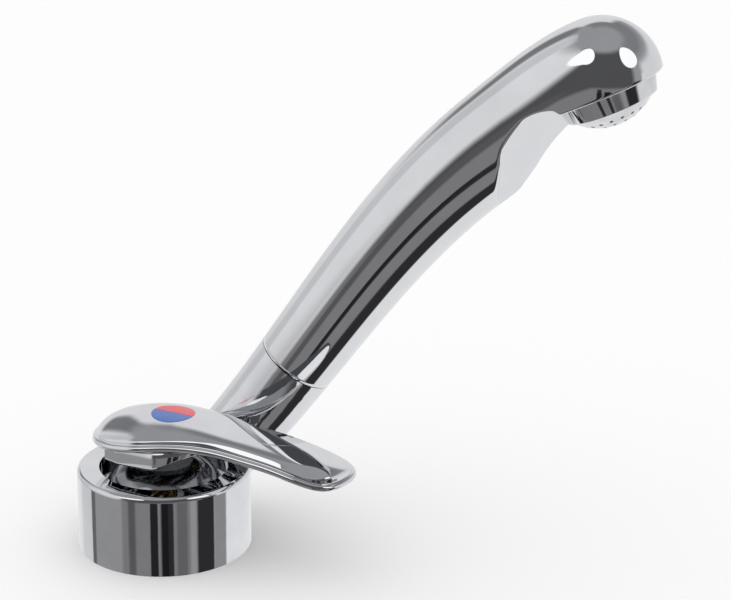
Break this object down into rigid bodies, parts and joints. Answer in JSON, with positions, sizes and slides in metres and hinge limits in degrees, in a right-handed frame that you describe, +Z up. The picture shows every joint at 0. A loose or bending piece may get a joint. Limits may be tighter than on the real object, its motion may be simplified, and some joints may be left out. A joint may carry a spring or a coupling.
{
  "type": "mixer tap",
  "caption": "Single-lever mixer tap with a round base and an arching spout that docks in a leaning holder and pulls out as a hand shower.",
  "frame": {"origin": "on the worktop, where the lever's turning axis meets the underside of the round base", "axes": "+X the way the spout points, +Z up, so the spout stands beside the lever on the +Y side"},
  "size_m": [0.1907, 0.078, 0.2679],
  "materials": {
    "chrome_body": "bright chrome on brass",
    "chrome_lever": "bright chrome on zinc",
    "chrome_handset": "bright chrome on plastic",
    "chrome_trim": "bright chrome on plastic",
    "brass": "machined brass",
    "copper": "drawn copper pipe",
    "steel": "zinc plated steel",
    "rubber": "moulded rubber",
    "white_plastic": "moulded acetal",
    "grey_plastic": "moulded acetal",
    "ceramic": "lapped ceramic",
    "red_marker": "red enamel",
    "blue_marker": "blue enamel"
  },
  "bodies": {
    "body": {"base_body": "chrome_body", "base_gasket": "rubber", "mounting_shank": "brass", "rubber_washer": "rubber", "steel_washer": "steel", "fixing_nut": "brass", "hot_tail": "copper", "cold_tail": "copper", "outlet_tail": "copper", "guide_bush": "white_plastic", "cartridge_housing": "white_plastic", "cartridge_plate": "white_plastic", "cartridge_seals": "rubber", "fixed_ceramic_disc": "ceramic", "cartridge_nut": "brass", "cartridge_cap": "chrome_trim"},
    "carrier": {"cartridge_carrier": "grey_plastic", "pivot_pin": "steel"},
    "disc": {"moving_ceramic_disc": "ceramic", "disc_driver": "grey_plastic"},
    "lever": {"lever_handle": "chrome_lever", "lever_stem": "brass", "grub_screw": "steel", "hot_marker": "red_marker", "cold_marker": "blue_marker"},
    "handset": {"handset_shell": "chrome_handset", "docking_spigot": "grey_plastic", "spigot_seals": "rubber", "non_return_valve": "white_plastic", "hose_nipple": "brass", "water_tube": "white_plastic", "spray_chamber": "grey_plastic", "spray_diffuser": "white_plastic", "spray_plate": "chrome_trim", "spray_collar": "chrome_trim"}
  },
  "joints": [
    {"name": "lever_turn", "type": "hinge", "parent": "body", "child": "carrier", "pos_m": [0, 0, 0], "axis": [0, 0, 1], "range_deg": [-58, 4]},
    {"name": "lever_lift", "type": "hinge", "parent": "carrier", "child": "lever", "pos_m": [0, 0, 0.0315], "axis": [-0.1908, -0.9816, 0], "range_deg": [0, 20]},
    {"name": "disc_slide", "type": "slide", "parent": "carrier", "child": "disc", "axis": [0.9816, -0.1908, 0], "range_m": [0, 0.003]},
    {"name": "handset_pull", "type": "slide", "parent": "body", "child": "handset", "axis": [0.5693, 0, 0.8221], "range_m": [0, 0.6]}
  ],
  "couplings": [
    {"joint": "disc_slide", "follows": "lever_lift", "m_per_rad": 0.0085}
  ]
}
